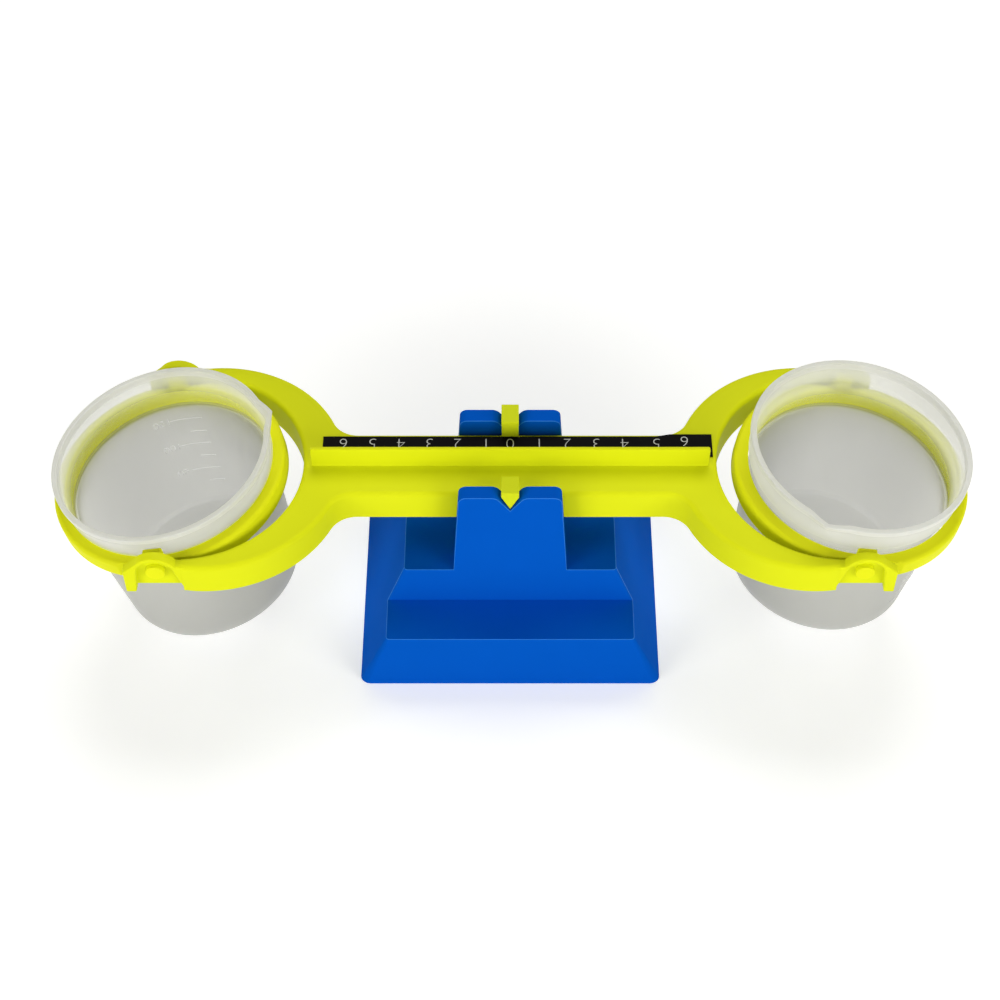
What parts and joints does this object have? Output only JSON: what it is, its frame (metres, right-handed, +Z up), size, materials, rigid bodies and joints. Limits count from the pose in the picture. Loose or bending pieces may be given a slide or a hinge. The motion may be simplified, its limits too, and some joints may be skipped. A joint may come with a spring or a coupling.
{
  "type": "two-pan balance scale",
  "caption": "Moulded plastic teaching balance: a stepped base carries a rocking knife-edge beam whose end yokes hold swinging collars with lift-out frosted buckets.",
  "frame": {"origin": "centre of the underside of the base, on the table", "axes": "+X along the beam to the right, +Y away from the viewer, +Z up"},
  "size_m": [0.3266, 0.093, 0.0943],
  "materials": {
    "blue_plastic": "semi-gloss moulded",
    "lime_plastic": "semi-gloss moulded",
    "knife_lime_plastic": "semi-gloss moulded",
    "collar_lime_plastic": "semi-gloss moulded",
    "black_strip": "satin printed film",
    "frosted_plastic": "translucent frosted moulded"
  },
  "bodies": {
    "base_body": {"base": "blue_plastic"},
    "beam_body": {"beam": "lime_plastic", "scale_strip": "black_strip", "front_knife_edge": "knife_lime_plastic", "rear_knife_edge": "knife_lime_plastic"},
    "left_collar_body": {"left_collar": "collar_lime_plastic"},
    "right_collar_body": {"right_collar": "collar_lime_plastic"},
    "left_bucket_body": {"left_bucket": "frosted_plastic"},
    "right_bucket_body": {"right_bucket": "frosted_plastic"}
  },
  "joints": [
    {"name": "beam_rock", "type": "hinge", "parent": "base_body", "child": "beam_body", "pos_m": [0, 0, 0.0777], "axis": [0, 1, 0], "range_deg": [-4.5, 4.5]},
    {"name": "left_collar_swing", "type": "hinge", "parent": "beam_body", "child": "left_collar_body", "pos_m": [-0.1215, 0, 0.0746], "axis": [0, -1, 0], "range_deg": [-39, 20]},
    {"name": "right_collar_swing", "type": "hinge", "parent": "beam_body", "child": "right_collar_body", "pos_m": [0.1215, 0, 0.0746], "axis": [0, 1, 0], "range_deg": [-36, 24]},
    {"name": "left_bucket_lift", "type": "slide", "parent": "left_collar_body", "child": "left_bucket_body", "axis": [-0.1685, 0, 0.9857], "range_m": [0, 0.075]},
    {"name": "right_bucket_lift", "type": "slide", "parent": "right_collar_body", "child": "right_bucket_body", "axis": [0.1219, 0, 0.9925], "range_m": [-0.004, 0.071]}
  ]
}
